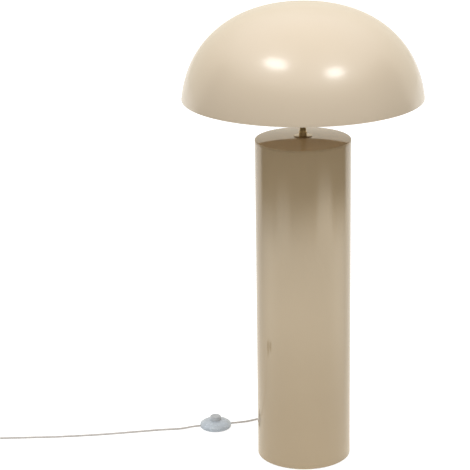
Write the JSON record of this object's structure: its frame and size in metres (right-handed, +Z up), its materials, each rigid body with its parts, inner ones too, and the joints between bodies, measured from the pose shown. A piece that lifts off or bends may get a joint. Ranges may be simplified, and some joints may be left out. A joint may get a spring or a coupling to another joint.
{
  "type": "mushroom floor lamp",
  "caption": "Floor lamp with a mushroom dome shade on a short brass stem over a wide gloss column, with a foot switch in its cord.",
  "frame": {"origin": "on the floor, at the axis of the column", "axes": "+Z up, +Y to the back where the cord leaves the column, +X to the lamp's right side"},
  "size_m": [0.9201, 0.449, 0.8861],
  "materials": {
    "column_lacquer": "high gloss lacquer",
    "shade_enamel": "satin gloss enamel",
    "stem_brass": "darkened, satin",
    "zinc_steel": "zinc plated",
    "cast_weight": "raw cast",
    "pad_rubber": "matt",
    "spider_white": "satin",
    "holder_black": "satin moulded",
    "holder_ceramic": "bare ceramic",
    "contact_brass": "bright",
    "bulb_metal": "bright",
    "bulb_black": "gloss",
    "bulb_white": "satin moulded",
    "bulb_frosted": "frosted",
    "cord_vinyl": "smooth vinyl",
    "gland_grey": "satin moulded",
    "tie_black": "matt",
    "plug_grey": "satin moulded",
    "pin_nickel": "nickel plated",
    "switch_clear": "translucent, gloss",
    "button_clear": "translucent, gloss",
    "switch_white": "moulded"
  },
  "bodies": {
    "lamp": {"foot_pad": "pad_rubber", "base_plate": "zinc_steel", "base_brackets": "zinc_steel", "base_screws": "zinc_steel", "ballast": "cast_weight", "ballast_bolts": "zinc_steel", "column_tube": "column_lacquer", "column_cap": "column_lacquer", "cap_plate": "zinc_steel", "stem_pipe": "stem_brass", "pipe_nuts": "zinc_steel", "pipe_washers": "zinc_steel", "flange": "stem_brass", "stem_collar": "stem_brass", "holder_cap": "holder_black", "holder_body": "holder_black", "holder_insert": "holder_ceramic", "holder_contacts": "contact_brass", "holder_screw_shell": "contact_brass", "shade_ring": "holder_black", "bulb_cap": "bulb_metal", "bulb_insulator": "bulb_black", "bulb_tip": "bulb_metal", "bulb_body": "bulb_white", "bulb_globe": "bulb_frosted", "shade_dome": "shade_enamel", "shade_spider": "spider_white", "shade_lugs": "spider_white", "spider_screws": "zinc_steel", "cord_gland": "gland_grey", "gland_nut": "gland_grey", "inner_lead": "cord_vinyl", "cord_base": "cord_vinyl", "cord_run": "cord_vinyl", "cord_coil": "cord_vinyl", "coil_tie": "tie_black", "cord_tail": "cord_vinyl", "plug_body": "plug_grey", "plug_pins": "pin_nickel", "switch_base": "switch_clear", "switch_cover": "switch_clear", "switch_screws": "zinc_steel", "switch_block": "switch_white", "switch_contacts": "contact_brass", "switch_spring": "zinc_steel"},
    "button": {"switch_button": "button_clear", "contact_bridge": "contact_brass"}
  },
  "joints": [
    {"name": "button_press", "type": "slide", "parent": "lamp", "child": "button", "axis": [0, 0, -1], "range_m": [0, 0.0032], "stiffness_N_per_m": 900, "springref_m": -0.002, "deforming": ["switch_spring"]}
  ]
}
